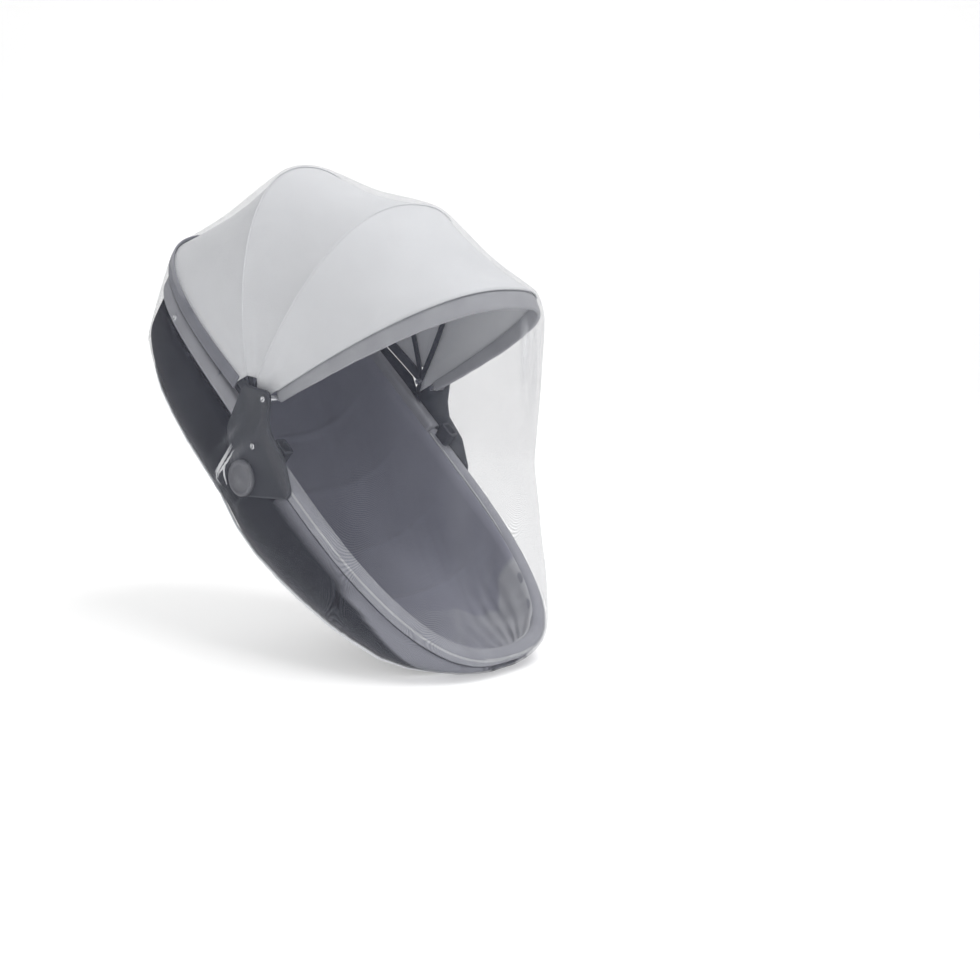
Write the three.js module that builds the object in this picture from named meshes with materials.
// Fitted mosquito net, pulled over the seat unit and hood of a stroller.
// Millimetres. +X is forwards, +Y is the child's left, +Z is up.
// The origin is the middle of the axis through the two round side hubs.

import * as THREE from "three";
import { ConvexHull } from "three/addons/math/ConvexHull.js";

// Seat: a long shallow tub under a padded rim, its plane tipped back by SEAT_TILT.
const SEAT_TILT = 42;          // degrees from level
const RIM_HEIGHT = 56;         // rim centre above the hub axis, square to the rim plane
const RIM_HALF_WIDTH = 188;    // rim centre line
const RIM_HEAD = -421;         // tip of the rim behind the head
const RIM_FOOT = 455;          // tip of the rim at the feet
const RIM_HEAD_SQUARENESS = 5.5;
const RIM_FOOT_SQUARENESS = 2.75;
const RIM_SPLIT = -4;          // foot loop and head loop meet here, inside the joint
const RIM_MIDDLE = 30;         // widest place of the rim and tub
const RIM_STEPS = 32;
const RIM_JOIN = 20;           // the loop runs straight this far from its split
const RIM_FOOT_BAND = { width: 27, thick: 24 };
const RIM_HEAD_BAND = { width: 30, thick: 24 };
const RAIL_LIFT = 6;           // middle of the head rail above the foot rim's
const TUB_TOP = 43.3;           // top edge of the tub, above the hub axis
const TUB_SIDE = 10;           // tub side beyond the rim's centre line
const TUB_SQUARENESS = 4;
const TUB_WALL = 3;
const TUB_LEAST_DEPTH = 4;
const TUB_CORNER_FROM = -300;  // behind this the tub's corners are rounder than the rim's
const TUB_CORNER_SQUARENESS = 2.3;
const TIP_CUT = 1.5;           // the bowl stops this far inside its tips
const LINER_TOP = 62;
const LINER_SIDE = -15;        // liner side inside the rim's centre line
const LINER_WALL = 13;
const LINER_LIFT = 6.3;        // liner above the tub's inner face
const GAP = 0.3;
const DEPTH_EASING = 0.35;     // share of a curved passage between two rows of the table below

const TUB = { top: TUB_TOP, side: TUB_SIDE, wall: TUB_WALL, lift: 0, rows: 22, columns: 16 };
const LINER = { top: LINER_TOP, side: LINER_SIDE, wall: LINER_WALL, lift: TUB_WALL + LINER_LIFT,
  rows: 16, columns: 12 };

// Depth of the tub on its centre line, by distance along the seat.
const TUB_DEPTHS = [
  { along: -430, depth: 24 },
  { along: -414, depth: 60 },
  { along: -392, depth: 96 },
  { along: -345, depth: 128 },
  { along: -258, depth: 156 },
  { along: -190, depth: 168 },
  { along: -35, depth: 172 },
  { along: 30, depth: 188 },
  { along: 90, depth: 182 },
  { along: 168, depth: 162 },
  { along: 243, depth: 140 },
  { along: 294, depth: 124 },
  { along: 350, depth: 103 },
  { along: 398, depth: 69 },
  { along: 437, depth: 35 },
  { along: 464, depth: 11 },
];

// Hood: four bows that open like a fan from the joint above each hub.
const JOINT = { x: 10, z: 137 };
const BOWS = [
  // turn: degrees up from +X. reach: to the crown. half: half width. root: start of the leg.
  // lean: degrees by which the band tips on the arch. rise: of the cloth over the arch.
  { name: "bow_rear", turn: 141.4, reach: 399, half: 197, squareness: 2.8, root: 5.6,
    width: 20, thick: 6, lean: 25, rise: 8 },
  { name: "bow_back", turn: 101, reach: 366, half: 191.5, squareness: 2.15, root: 5.6,
    width: 12, thick: 3, lean: 7, rise: 7 },
  { name: "bow_middle", turn: 58.2, reach: 338, half: 187, squareness: 2.35, root: 5.6,
    width: 12, thick: 3, lean: -6, rise: 6.5 },
  { name: "bow_front", turn: 25.6, reach: 432, half: 177, squareness: 2.6, root: 70.9,
    width: 18, thick: 8, lean: 0, rise: 6.5, x: -9, z: 108, peak: 12 },
];
const HOOD_THICK = 2;
const HOOD_LOWER_EDGE = 38;    // reach at which the hood's cloth starts above the joint
const HOOD_DIP = 10;           // sag of the cloth between two bows
const HOOD_COLUMNS = 22;
const HOOD_ROWS = 5;           // from one bow to the next
const BOW_STEPS = 22;
const CORNER_SHARE = 0.3;      // cut corners of a band, as a share of its lesser size

// Back cloth: from the head rim up to the rear bow, open in front of the two places below.
const BACK_THICK = 2;
const BACK_FROM_HUB = -58;     // along the rim
const BACK_FROM_JOINT = 26;    // along the bow
const BACK_EDGE_GAP = 1.35;     // from its middle layer to the bow
const BACK_FOOT_GAP = 3.3;     // and to the rail
const BACK_FLARE = 4;          // its upper edge follows the rear bow's lean outwards
const BACK_COLUMNS = 30;
const BACK_SAMPLES = 120;
const BACK_ROWS = 2;

// Joint plate, hub and screws on each side.
const PLATE_INNER = 200.3;
const PLATE_OUTER = 206;
const FRONT_JOINT = { x: 54, z: 128 };  // the front bow turns on a pin of its own
const PLATE_CIRCLES = [
  { ...JOINT, radius: 12 },
  { ...FRONT_JOINT, radius: 14 },
  { x: 0, z: 0, radius: 30 },
  { x: -16, z: 76, radius: 23 },   // the lobe over the rim behind the hub
];
const PIN_RADIUS = 5;
const PINS = [
  { ...JOINT, inner: 180 },
  { ...FRONT_JOINT, inner: 171 },
];
const PLATE_RIM_END = { along: 80, radius: 14 };
const PLATE_NOTCH = [          // the plate's front edge bends in between front joint and rim
  { x: 97, z: 38 },
  { x: 66, z: 76 },
  { x: 62, z: 102 },
];
const CIRCLE_STEPS = 20;
const ROUND_STEPS = 12;        // facets of a screw or pin
const HUB_STEPS = 28;
const HUB_TAPER = 1;
const HUB_RADIUS = 29;
const HUB_OUTER = 215;
const SCREW_RADIUS = 5;
const SCREW_HEIGHT = 2.2;
const PLATE_SCREW = -16;       // along the seat
const RAIL_SCREW = -308;
const SOCKET = { along: 24, length: 30, width: 18, height: 27 };

// Net: one sheet over all of it, gathered by the elastic in its hem.
const NET_THICK = 2;
const NET_CLEAR = 3.5;           // from the seat and hood to the net's inner face
const HEM_THICK = 5;
const HEM_SNUG = 1.2;          // the hem's elastic presses it this much further inwards
const NET_ROWS = 48;
const NET_COLUMNS = 34;
const NET_ROW_TURN = 16;       // degrees of bend that count as much as NET_ROW_LENGTH
const NET_ROW_LENGTH = 45;
const NET_CLEARING_PASSES = 10;
const NET_LOOK_DEPTH = 25;     // depth inside the outline down to which the net is kept clear
const NET_EDGE_MARGIN = 0.05;  // share by which a triangle also minds points beside it
const NET_SAMPLES = 180;       // along a section, before its points are spread evenly
const NET_PROBES = 240;        // sections looked at to space the rows
const NET_PROBE_COLUMNS = 6;
const NET_SQUARENESS = 2.6;
const SHARPEST_BEND = 90;      // degrees
const SAG_SHARE = 0.11;        // dip of the net, as a share of the open space behind it
const SAG_FREE = 28;           // space within which it lies against what it covers

// Sections of the net from head to foot: its spine, the hem on each side,
// and the half width between the two hems.
const NET_SECTIONS = [
  { spine: [-282, 214], hem: [-280, 205], half: 95, dip: 0 },
  { spine: [-296, 265], hem: [-272, 165], half: 160, dip: 0 },
  { spine: [-305, 325], hem: [-246, 108], half: 184, dip: 0 },
  { spine: [-309, 394], hem: [-212, 62], half: 186, dip: 0 },
  { spine: [-190, 455], hem: [-162, 15], half: 186, dip: 7 },
  { spine: [-62, 505], hem: [-112, -30], half: 184, dip: 0 },
  { spine: [70, 478], hem: [-70, -85], half: 184, dip: 7 },
  { spine: [190, 432], hem: [-25, -130], half: 184, dip: 0 },
  { spine: [295, 366], hem: [20, -158], half: 184, dip: 7 },
  { spine: [388, 300], hem: [58, -182], half: 182, dip: 0 },
  { spine: [402, 265], hem: [80, -192], half: 182, dip: 0 },
  { spine: [404, 160], hem: [112, -206], half: 180, dip: 0 },
  { spine: [403, 40], hem: [146, -224], half: 178, dip: 0 },
  { spine: [403, -80], hem: [180, -244], half: 176, dip: 0 },
  { spine: [403, -190], hem: [212, -262], half: 172, dip: 0 },
  { spine: [404, -264], hem: [244, -278], half: 162, dip: 0 },
  { spine: [382, -293], hem: [276, -288], half: 140, dip: 0 },
  { spine: [325, -298], hem: [312, -296], half: 95, dip: 0 },
];
// Main folds of the net: where each runs from and to, its height (a trough is below 0)
// and its half width. At its ends a fold keeps FOLD_END of its height.
const FOLD_END = 0.35;
const NET_FOLDS = [
  { from: [404, 26, 264], to: [382, 62, 60], height: 7, width: 17 },
  { from: [402, 66, 262], to: [382, 96, 90], height: -6, width: 16 },
  { from: [366, -98, 170], to: [382, -96, -245], height: 6, width: 18 },
  { from: [366, -52, 60], to: [390, -72, -258], height: 5, width: 16 },
  { from: [386, -26, -95], to: [396, 48, -212], height: 7, width: 16 },
  { from: [392, 96, 20], to: [400, 84, -235], height: 5, width: 18 },
  { from: [34, -220, 62], to: [-112, -190, -38], height: 8, width: 15 },
  { from: [76, -214, 74], to: [150, -206, -52], height: 5, width: 15 },
  { from: [36, 220, 60], to: [-108, 190, -40], height: 6, width: 17 },
  { from: [330, -176, 200], to: [300, -190, -120], height: -5, width: 22 },
];
const NET_CORE_HEAD = [-150, 205];
const NET_CORE_FOOT = [275, -140];

const material = (color, roughness, metalness = 0) =>
  new THREE.MeshStandardMaterial({ color, roughness, metalness });
const netCloth = material(0xe6e8ee, 0.8);
const hoodCloth = material(0xc9cbd0, 0.9);
const darkCloth = material(0x3b3c44, 0.9);
const linerCloth = material(0x6a6b73, 0.9);
const rimCloth = material(0x9a9ca3, 0.85);
const darkPlastic = material(0x44464d, 0.55);
const greyPlastic = material(0x82838b, 0.5);
const steel = material(0xc4c6ca, 0.3, 0.9);

const part = new THREE.Group();

function add(name, geometry, finish) {
  const mesh = new THREE.Mesh(geometry, finish);
  mesh.name = name;
  part.add(mesh);
  return mesh;
}

const radians = THREE.MathUtils.degToRad;
const tilt = radians(SEAT_TILT);
const SEAT_ALONG = new THREE.Vector3(Math.cos(tilt), 0, -Math.sin(tilt));
const SEAT_UP = new THREE.Vector3(Math.sin(tilt), 0, Math.cos(tilt));

// A point of the seat: along its plane to the feet, across to the left, and up square to it.
function seatPoint(along, across, up) {
  return new THREE.Vector3(0, across, 0).addScaledVector(SEAT_ALONG, along).addScaledVector(SEAT_UP, up);
}

function superPower(value, squareness) {
  return Math.sign(value) * Math.abs(value) ** (2 / squareness);
}

// Straight-line value of a table's column at a given place in another column.
function lookUp(table, key, place, column) {
  const last = table.length - 1;
  let i = 0;
  while (i < last - 1 && table[i + 1][key] < place) i += 1;
  const [a, b] = [table[i], table[i + 1]];
  const share = THREE.MathUtils.clamp((place - a[key]) / (b[key] - a[key]), 0, 1);
  const eased = THREE.MathUtils.lerp(share, THREE.MathUtils.smoothstep(share, 0, 1), DEPTH_EASING);
  return THREE.MathUtils.lerp(a[column], b[column], eased);
}

// A closed body from rings of points, capped at both ends.
function loft(rings) {
  const size = rings[0].length;
  const points = rings.flat();
  const faces = [];
  for (let r = 0; r + 1 < rings.length; r += 1) {
    for (let s = 0; s < size; s += 1) {
      const next = (s + 1) % size;
      const [a, b] = [r * size + s, r * size + next];
      const [c, d] = [b + size, a + size];
      faces.push([a, b, c], [a, c, d]);
    }
  }
  const end = (rings.length - 1) * size;
  for (let s = 1; s + 1 < size; s += 1) {
    faces.push([0, s + 1, s], [end, end + s, end + s + 1]);
  }
  return closedGeometry(points, faces);
}

// Turns points and faces into a geometry whose faces point outwards.
function closedGeometry(points, faces) {
  let volume = 0;
  for (const [a, b, c] of faces) {
    volume += points[a].dot(new THREE.Vector3().crossVectors(points[b], points[c]));
  }
  const ordered = volume < 0 ? faces.map(([a, b, c]) => [a, c, b]) : faces;
  const geometry = new THREE.BufferGeometry().setFromPoints(points);
  geometry.setIndex(ordered.flat());
  return geometry;
}

// A band swept along a curve that lies in one plane. Its section is measured
// outwards from the curve and along the plane's normal, with cut corners.
function planeSweep(path, normal, { width, thick, lean = 0, peak = 0 }) {
  const cut = Math.min(width, thick) * CORNER_SHARE;
  const [w, t] = [width / 2, thick / 2];
  const rings = path.map((point, i) => {
    const before = path[Math.max(i - 1, 0)];
    const after = path[Math.min(i + 1, path.length - 1)];
    const ahead = new THREE.Vector3().subVectors(after, before).normalize();
    const outward = new THREE.Vector3().crossVectors(ahead, normal).normalize();
    // The band leans most at the crown, and a peak hangs deepest there.
    const crown = Math.sin((Math.PI * i) / (path.length - 1));
    const [cos, sin] = [Math.cos(radians(lean * crown)), Math.sin(radians(lean * crown))];
    const hang = peak === 0 ? 0 : w + peak * crown;
    const [low, high] = peak === 0 ? [-w, w] : [-w - hang, 0];
    const section = [
      [t, low + cut], [t, high - cut], [t - cut, high], [-t + cut, high],
      [-t, high - cut], [-t, low + cut], [-t + cut, low], [t - cut, low],
    ];
    return section.map(([out, side]) => point.clone()
      .addScaledVector(outward, out * cos + side * sin)
      .addScaledVector(normal, side * cos - out * sin));
  });
  return loft(rings);
}

// The grid moved along its own normals, by a distance given at each point.
function moved(grid, distance) {
  const [rows, columns] = [grid.length, grid[0].length];
  return grid.map((row, r) => row.map((point, c) => {
    const along = new THREE.Vector3().subVectors(
      grid[Math.min(r + 1, rows - 1)][c], grid[Math.max(r - 1, 0)][c]);
    const across = new THREE.Vector3().subVectors(
      row[Math.min(c + 1, columns - 1)], row[Math.max(c - 1, 0)]);
    const normal = new THREE.Vector3().crossVectors(along, across).normalize();
    return point.clone().addScaledVector(normal, distance(r, c));
  }));
}

// A closed sheet between two grids of points that match.
function sheet(outer, inner) {
  const [rows, columns] = [outer.length, outer[0].length];
  const points = [...outer.flat(), ...inner.flat()];
  const shift = rows * columns;
  const faces = [];
  for (let r = 0; r + 1 < rows; r += 1) {
    for (let c = 0; c + 1 < columns; c += 1) {
      const a = r * columns + c;
      const [b, d] = [a + 1, a + columns];
      const e = d + 1;
      faces.push([a, b, e], [a, e, d]);
      faces.push([a + shift, e + shift, b + shift], [a + shift, d + shift, e + shift]);
    }
  }
  const edge = [];
  for (let c = 0; c < columns - 1; c += 1) {
    edge.push(c);
  }
  for (let r = 0; r < rows - 1; r += 1) {
    edge.push(r * columns + columns - 1);
  }
  for (let c = columns - 1; c > 0; c -= 1) {
    edge.push((rows - 1) * columns + c);
  }
  for (let r = rows - 1; r > 0; r -= 1) {
    edge.push(r * columns);
  }
  edge.forEach((a, i) => {
    const b = edge[(i + 1) % edge.length];
    faces.push([a, a + shift, b + shift], [a, b + shift, b]);
  });
  return closedGeometry(points, faces);
}

// Half width of the rim's centre line at a place along the seat.
function rimHalfWidth(along, beyond = 0) {
  const toFoot = along > RIM_MIDDLE;
  const squareness = toFoot ? RIM_FOOT_SQUARENESS : RIM_HEAD_SQUARENESS;
  const tip = (toFoot ? RIM_FOOT : RIM_HEAD) + (toFoot ? beyond : -beyond);
  const share = Math.min(Math.abs((along - RIM_MIDDLE) / (tip - RIM_MIDDLE)), 1);
  return (RIM_HALF_WIDTH + beyond) * (1 - share ** squareness) ** (1 / squareness);
}

// Half of the rim's loop, from one side of the joint round its tip to the other side.
function rimLoop(tip, start, squareness) {
  const path = [seatPoint(start, -RIM_HALF_WIDTH, RIM_HEIGHT)];
  for (let i = 0; i <= RIM_STEPS; i += 1) {
    const turn = Math.PI * (i / RIM_STEPS - 0.5);
    const along = RIM_MIDDLE + (tip - RIM_MIDDLE) * superPower(Math.cos(turn), squareness);
    const across = RIM_HALF_WIDTH * superPower(Math.sin(turn), squareness);
    if (Math.sign(tip) * (along - start) > RIM_JOIN) {
      path.push(seatPoint(along, across, RIM_HEIGHT));
    }
  }
  path.push(seatPoint(start, RIM_HALF_WIDTH, RIM_HEIGHT));
  return path;
}

function addRims() {
  const foot = rimLoop(RIM_FOOT, RIM_SPLIT + GAP, RIM_FOOT_SQUARENESS);
  const head = rimLoop(RIM_HEAD, RIM_SPLIT - GAP, RIM_HEAD_SQUARENESS)
    .map((point) => point.addScaledVector(SEAT_UP, RAIL_LIFT));
  add("rim_foot", planeSweep(foot, SEAT_UP, RIM_FOOT_BAND), rimCloth);
  add("rim_head", planeSweep(head, SEAT_UP, RIM_HEAD_BAND), greyPlastic);
}

// The bowl of the tub or liner: sections across the seat, each a squared half oval.
function bowl(top, beyond, lift, rows, columns) {
  const tips = [RIM_HEAD - beyond + TIP_CUT, RIM_FOOT + beyond - TIP_CUT];
  const grid = [];
  for (let r = 0; r <= rows; r += 1) {
    const place = -Math.cos((Math.PI * r) / rows);
    const along = THREE.MathUtils.mapLinear(place, -1, 1, tips[0], tips[1]);
    const corner = Math.max((along - TUB_CORNER_FROM) / (RIM_HEAD - beyond - TUB_CORNER_FROM), 0);
    const round = (1 - corner ** TUB_CORNER_SQUARENESS) ** (1 / TUB_CORNER_SQUARENESS);
    const half = Math.min(rimHalfWidth(along, beyond), (RIM_HALF_WIDTH + beyond) * round);
    const tableDepth = lookUp(TUB_DEPTHS, "along", along, "depth");
    const depth = Math.max(tableDepth - lift + (top - TUB_TOP), TUB_LEAST_DEPTH);
    const row = [];
    for (let c = 0; c <= columns; c += 1) {
      const turn = Math.PI * (c / columns - 0.5);
      const across = half * superPower(Math.sin(turn), TUB_SQUARENESS);
      const up = top - depth * superPower(Math.max(Math.cos(turn), 0), TUB_SQUARENESS);
      row.push(seatPoint(along, across, up));
    }
    grid.push(row);
  }
  return grid;
}

// A bowl with a wall, open at the top.
function addBowl(name, { top, side, wall, lift, rows, columns }, finish) {
  const outer = bowl(top, side, lift, rows, columns);
  const inner = bowl(top, side - wall, lift + wall, rows, columns);
  add(name, sheet(outer, inner), finish);
}

// A point of a bow: an arch with squared shoulders in a plane through the joint.
function bowPoint(bow, turn, grow = 0) {
  const angle = radians(bow.turn);
  const reach = (bow.reach + grow) * superPower(Math.sin(turn), bow.squareness);
  const across = -(bow.half + grow) * superPower(Math.cos(turn), bow.squareness);
  const [x, z] = [bow.x ?? JOINT.x, bow.z ?? JOINT.z];
  return new THREE.Vector3(x + reach * Math.cos(angle), across, z + reach * Math.sin(angle));
}

// The turn at which a bow's leg has a given reach.
function bowTurn(bow, reach) {
  return Math.asin((reach / bow.reach) ** (bow.squareness / 2));
}

function addBows() {
  for (const bow of BOWS) {
    const start = bowTurn(bow, bow.root);
    const path = [];
    for (let i = 0; i <= BOW_STEPS; i += 1) {
      path.push(bowPoint(bow, THREE.MathUtils.lerp(start, Math.PI - start, i / BOW_STEPS)));
    }
    const angle = radians(bow.turn);
    const normal = new THREE.Vector3(-Math.sin(angle), 0, Math.cos(angle));
    add(bow.name, planeSweep(path, normal, bow), bow.peak ? rimCloth : darkPlastic);
  }
}

// The dark cloth behind the hood: it stands on the head rim and ends under the rear bow.
function addBackCloth() {
  const [bow] = BOWS;
  const angle = radians(bow.turn);
  const under = new THREE.Vector3(-Math.sin(angle), 0, Math.cos(angle))
    .multiplyScalar(bow.width / 2 + BACK_EDGE_GAP);
  const start = bowTurn(bow, BACK_FROM_JOINT);
  const arch = Array.from({ length: BACK_SAMPLES + 1 }, (_, i) => {
    const turn = THREE.MathUtils.lerp(start, Math.PI - start, i / BACK_SAMPLES);
    return bowPoint(bow, turn, BACK_FLARE * Math.sin(turn) ** 2).add(under);
  });
  const lift = RAIL_LIFT + RIM_HEAD_BAND.width / 2 + BACK_FOOT_GAP;
  const foot = rimLoop(RIM_HEAD, BACK_FROM_HUB, RIM_HEAD_SQUARENESS)
    .map((point) => point.addScaledVector(SEAT_UP, lift));
  const [upper, lower] = [arch, foot].map((line) => evenly(line, BACK_COLUMNS));
  const grid = Array.from({ length: BACK_ROWS + 1 }, (_, r) =>
    lower.map((point, c) => point.clone().lerp(upper[c], r / BACK_ROWS)));
  const [outer, inner] = [1, -1].map((way) => moved(grid, () => (way * BACK_THICK) / 2));
  add("back_cloth", sheet(outer, inner), darkCloth);
}

// The hood's cloth: stretched from bow to bow, a little slack between them.
function addHood() {
  const grid = [];
  for (let b = 0; b + 1 < BOWS.length; b += 1) {
    const [from, to] = [BOWS[b], BOWS[b + 1]];
    const first = b === 0 ? 0 : 1;
    for (let i = first; i <= HOOD_ROWS; i += 1) {
      const share = i / HOOD_ROWS;
      const dip = HOOD_DIP * 4 * share * (1 - share);
      const row = [];
      for (let c = 0; c <= HOOD_COLUMNS; c += 1) {
        const ends = [from, to].map((bow) => {
          const start = bowTurn(bow, HOOD_LOWER_EDGE);
          const turn = THREE.MathUtils.lerp(start, Math.PI - start, c / HOOD_COLUMNS);
          return bowPoint(bow, turn, bow.rise);
        });
        const crown = Math.sin((Math.PI * c) / HOOD_COLUMNS);
        const point = ends[0].lerp(ends[1], share);
        const inward = new THREE.Vector3(JOINT.x, 0, JOINT.z).sub(point).normalize();
        row.push(point.addScaledVector(inward, dip * crown));
      }
      grid.push(row);
    }
  }
  add("hood_cloth", sheet(grid, moved(grid, () => -HOOD_THICK)), hoodCloth);
}

// Outline round a set of points in the side plane, in order.
function outlineAround(points) {
  const sorted = [...points].sort((p, q) => p.x - q.x || p.y - q.y);
  const cross = (o, p, q) => (p.x - o.x) * (q.y - o.y) - (p.y - o.y) * (q.x - o.x);
  const half = (list) => {
    const chain = [];
    for (const point of list) {
      while (chain.length > 1 && cross(chain.at(-2), chain.at(-1), point) <= 0) chain.pop();
      chain.push(point);
    }
    return chain.slice(0, -1);
  };
  return [...half(sorted), ...half(sorted.reverse())];
}

function addSide(label, side) {
  const end = seatPoint(PLATE_RIM_END.along, 0, RIM_HEIGHT);
  const circles = [...PLATE_CIRCLES, { x: end.x, z: end.z, radius: PLATE_RIM_END.radius }];
  const points = circles.flatMap(({ x, z, radius }) =>
    Array.from({ length: CIRCLE_STEPS }, (_, i) => {
      const turn = (2 * Math.PI * i) / CIRCLE_STEPS;
      return new THREE.Vector2(x + radius * Math.cos(turn), z + radius * Math.sin(turn));
    }));
  const outline = outlineAround(points);
  const notch = PLATE_NOTCH.map(({ x, z }) => new THREE.Vector2(x, z));
  const front = outline.findIndex((point, i) => {
    const next = outline[(i + 1) % outline.length];
    return point.x > notch[0].x && point.y < notch[0].y && next.y > notch[2].y;
  });
  outline.splice(front + 1, 0, ...notch);
  // Extruded along its own Z, then laid so that the outline stands in the side plane.
  const depth = PLATE_OUTER - PLATE_INNER;
  const plate = new THREE.ExtrudeGeometry(new THREE.Shape(outline), { depth, bevelEnabled: false });
  const plateMesh = add(`joint_${label}`, plate, darkPlastic);
  plateMesh.rotation.x = Math.PI / 2;
  plateMesh.position.y = side > 0 ? PLATE_OUTER : -PLATE_INNER;

  const hubDepth = HUB_OUTER - PLATE_OUTER - GAP;
  const hubDisc = new THREE.CylinderGeometry(HUB_RADIUS, HUB_RADIUS + HUB_TAPER, hubDepth, HUB_STEPS);
  const hub = add(`hub_${label}`, hubDisc, greyPlastic);
  hub.position.y = side * (PLATE_OUTER + GAP + hubDepth / 2);
  if (side < 0) hub.rotation.x = Math.PI;

  const railHalf = rimHalfWidth(RAIL_SCREW) + RIM_HEAD_BAND.thick / 2;
  const screws = [
    { ...FRONT_JOINT, face: PLATE_OUTER + GAP },
    { ...seatPoint(PLATE_SCREW, 0, RIM_HEIGHT), face: PLATE_OUTER + GAP },
    { ...seatPoint(RAIL_SCREW, 0, RIM_HEIGHT + RAIL_LIFT), face: railHalf + 3 * GAP },
  ];
  screws.forEach(({ x, z, face }, i) => {
    const head = new THREE.CylinderGeometry(SCREW_RADIUS, SCREW_RADIUS, SCREW_HEIGHT, ROUND_STEPS);
    const screw = add(`screw_${label}_${i + 1}`, head, steel);
    screw.position.set(x, side * (face + SCREW_HEIGHT / 2), z);
  });

  PINS.forEach(({ x, z, inner }, i) => {
    const length = PLATE_INNER - GAP - inner;
    const shank = new THREE.CylinderGeometry(PIN_RADIUS, PIN_RADIUS, length, ROUND_STEPS);
    const pin = add(`pin_${label}_${i + 1}`, shank, steel);
    pin.position.set(x, side * (inner + length / 2), z);
  });

  const socket = add(`socket_${label}`,
    new THREE.BoxGeometry(SOCKET.length, SOCKET.width, SOCKET.height), darkPlastic);
  socket.rotation.y = tilt;
  const lift = RIM_HEIGHT + RIM_FOOT_BAND.width / 2 + GAP + SOCKET.height / 2;
  socket.position.copy(seatPoint(SOCKET.along, side * RIM_HALF_WIDTH, lift));
}

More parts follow.
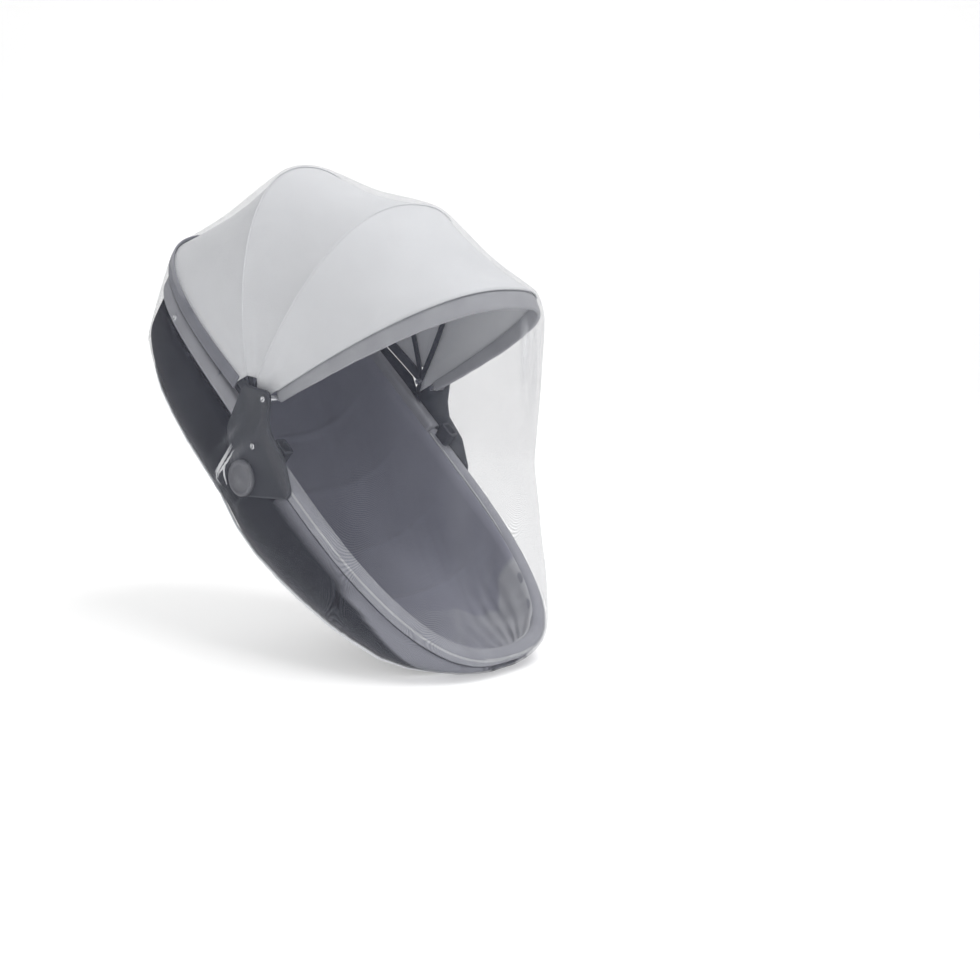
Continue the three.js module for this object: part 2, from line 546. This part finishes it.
// The net's outer face. It is pulled tight over the outline that encloses the seat and
// hood, so each point is found on a line from a core inside them, and it dips where
// there is open space behind it.
function addNet(covered) {
  const solid = [];
  const middles = [];
  part.updateMatrixWorld(true);
  for (const mesh of covered) {
    const position = mesh.geometry.getAttribute("position");
    const corners = Array.from({ length: position.count }, (_, i) =>
      new THREE.Vector3().fromBufferAttribute(position, i).applyMatrix4(mesh.matrixWorld));
    solid.push(...corners);
    const index = mesh.geometry.index ? [...mesh.geometry.index.array] : [...corners.keys()];
    index.forEach((from, i) => {
      const to = index[i % 3 === 2 ? i - 2 : i + 1];
      if (from < to) middles.push(corners[from].clone().lerp(corners[to], 0.5));
    });
  }
  const hull = new ConvexHull().setFromPoints(solid);
  const planes = hull.faces.map((face) => ({ normal: face.normal, reach: face.constant }));
  const clear = NET_CLEAR + NET_THICK;

  const onHull = (core, guess) => {
    const ray = new THREE.Vector3().subVectors(guess, core).normalize();
    let distance = Infinity;
    for (const { normal, reach } of planes) {
      const slope = normal.dot(ray);
      if (slope <= 0) continue;
      distance = Math.min(distance, (reach + clear - normal.dot(core)) / slope);
    }
    return core.clone().addScaledVector(ray, distance);
  };

  const last = NET_SECTIONS.length - 1;
  const blend = (key, place) => {
    const i = Math.min(Math.floor(place), last - 1);
    const pick = (k) => NET_SECTIONS[THREE.MathUtils.clamp(k, 0, last)][key];
    const [p0, p1, p2, p3] = [pick(i - 1), pick(i), pick(i + 1), pick(i + 2)].map((v) => [v].flat());
    const t = place - i;
    return p1.map((_, k) => 0.5 * (2 * p1[k] + (p2[k] - p0[k]) * t
      + (2 * p0[k] - 5 * p1[k] + 4 * p2[k] - p3[k]) * t * t
      + (3 * p1[k] - p0[k] - 3 * p2[k] + p3[k]) * t * t * t));
  };

  const section = (place, columns) => {
    const share = place / last;
    const [spineX, spineZ] = blend("spine", place);
    const [hemX, hemZ] = blend("hem", place);
    const [half] = blend("half", place);
    const core = new THREE.Vector3(
      THREE.MathUtils.lerp(NET_CORE_HEAD[0], NET_CORE_FOOT[0], share), 0,
      THREE.MathUtils.lerp(NET_CORE_HEAD[1], NET_CORE_FOOT[1], share));
    const fine = [];
    for (let i = 0; i <= NET_SAMPLES; i += 1) {
      const turn = Math.PI * (i / NET_SAMPLES - 0.5);
      const up = superPower(Math.max(Math.cos(turn), 0), NET_SQUARENESS);
      const across = half * superPower(Math.sin(turn), NET_SQUARENESS);
      const guess = new THREE.Vector3(
        THREE.MathUtils.lerp(hemX, spineX, up), across, THREE.MathUtils.lerp(hemZ, spineZ, up));
      fine.push(onHull(core, guess));
    }
    const [slack] = blend("dip", place);
    return evenly(fine, columns).map((point, c) => {
      const gap = Math.min(...solid.map((other) => other.distanceTo(point)));
      const crown = Math.sin((Math.PI * c) / columns) ** 3;
      const dip = SAG_SHARE * Math.max(gap - SAG_FREE, 0) + slack * crown;
      const inward = new THREE.Vector3().subVectors(core, point).normalize();
      return point.addScaledVector(inward, dip - foldHeight(point));
    });
  };

  // Rows are spaced by length and bend together, so that they gather at the bows and tips.
  const probes = Array.from({ length: NET_PROBES + 1 },
    (_, k) => section((k / NET_PROBES) * last, NET_PROBE_COLUMNS));
  const measure = [0];
  for (let k = 1; k <= NET_PROBES; k += 1) {
    let total = 0;
    for (let c = 0; c <= NET_PROBE_COLUMNS; c += 1) {
      const step = new THREE.Vector3().subVectors(probes[k][c], probes[k - 1][c]);
      const before = new THREE.Vector3().subVectors(probes[k - 1][c], probes[Math.max(k - 2, 0)][c]);
      const bend = k > 1 ? THREE.MathUtils.radToDeg(step.angleTo(before)) : 0;
      total += step.length() / NET_ROW_LENGTH + Math.min(bend, SHARPEST_BEND) / NET_ROW_TURN;
    }
    measure.push(measure[k - 1] + total);
  }
  const places = [0];
  for (let r = 1; r < NET_ROWS; r += 1) {
    const wanted = (measure[NET_PROBES] * r) / NET_ROWS;
    const k = measure.findIndex((value) => value >= wanted);
    const share = (wanted - measure[k - 1]) / (measure[k] - measure[k - 1]);
    places.push(((k - 1 + share) / NET_PROBES) * last);
  }
  places.push(last);
  const grid = places.map((place) => section(place, NET_COLUMNS));
  const depth = (point) => Math.min(...planes.map(({ normal, reach }) => reach - normal.dot(point)));
  const outermost = [...solid, ...middles].filter((point) => depth(point) < NET_LOOK_DEPTH);
  for (let pass = 0; pass < NET_CLEARING_PASSES; pass += 1) clearOf(outermost, grid, clear);
  const atHem = (r, c) => r === 0 || c === 0 || r === NET_ROWS || c === NET_COLUMNS;
  const outer = moved(grid, (r, c) => (atHem(r, c) ? HEM_THICK - NET_THICK : 0));
  const inner = moved(grid, (r, c) => -NET_THICK - (atHem(r, c) ? HEM_SNUG : 0));
  add("net_cover", sheet(outer, inner), netCloth);
}

// Lifts each triangle of a grid off the points that come closer to it than the clearance.
function clearOf(points, grid, clear) {
  const [edgeB, edgeC, offset, normal] = Array.from({ length: 4 }, () => new THREE.Vector3());
  const lift = (a, b, c) => {
    edgeB.subVectors(b, a);
    edgeC.subVectors(c, a);
    normal.crossVectors(edgeB, edgeC);
    const area = normal.length();
    normal.divideScalar(area);
    const reach = Math.max(edgeB.length(), edgeC.length());
    for (const point of points) {
      offset.subVectors(point, a);
      if (offset.length() > reach + clear) continue;
      const lack = offset.dot(normal) + clear;
      if (lack <= 0) continue;
      const shareB = offset.clone().cross(edgeC).dot(normal) / area;
      const shareC = edgeB.clone().cross(offset).dot(normal) / area;
      const shares = [1 - shareB - shareC, shareB, shareC];
      if (Math.min(...shares) < -NET_EDGE_MARGIN) continue;
      const scale = lack / shares.reduce((sum, share) => sum + share * share, 0);
      [a, b, c].forEach((corner, i) => {
        corner.addScaledVector(normal, scale * Math.max(shares[i], 0));
      });
    }
  };
  for (let r = 0; r + 1 < grid.length; r += 1) {
    for (let c = 0; c + 1 < grid[r].length; c += 1) {
      lift(grid[r][c], grid[r + 1][c + 1], grid[r][c + 1]);
      lift(grid[r][c], grid[r + 1][c], grid[r + 1][c + 1]);
    }
  }
}

// Height of the net's folds at a point: each has a rounded section and fades at its ends.
function foldHeight(point) {
  let height = 0;
  for (const fold of NET_FOLDS) {
    const run = new THREE.Line3(new THREE.Vector3(...fold.from), new THREE.Vector3(...fold.to));
    const place = run.closestPointToPointParameter(point, false);
    const share = THREE.MathUtils.clamp(place, 0, 1);
    const aside = run.at(share, new THREE.Vector3()).distanceTo(point) / fold.width;
    const fade = THREE.MathUtils.lerp(FOLD_END, 1, Math.sin(Math.PI * share));
    height += fold.height * fade * Math.exp(-aside * aside);
  }
  return height;
}

// The same number of points spread evenly along a line of points.
function evenly(line, count) {
  const lengths = [0];
  for (let i = 1; i < line.length; i += 1) {
    lengths.push(lengths[i - 1] + line[i].distanceTo(line[i - 1]));
  }
  const total = lengths.at(-1);
  const out = [];
  for (let c = 0, i = 1; c <= count; c += 1) {
    const wanted = (total * c) / count;
    while (i < line.length - 1 && lengths[i] < wanted) i += 1;
    const share = (wanted - lengths[i - 1]) / (lengths[i] - lengths[i - 1]);
    out.push(line[i - 1].clone().lerp(line[i], share));
  }
  return out;
}

addRims();
addBowl("seat_tub", TUB, darkCloth);
addBowl("seat_liner", LINER, linerCloth);
addBows();
addBackCloth();
addHood();
addSide("right", -1);
addSide("left", 1);
addNet([...part.children]);

export default part;
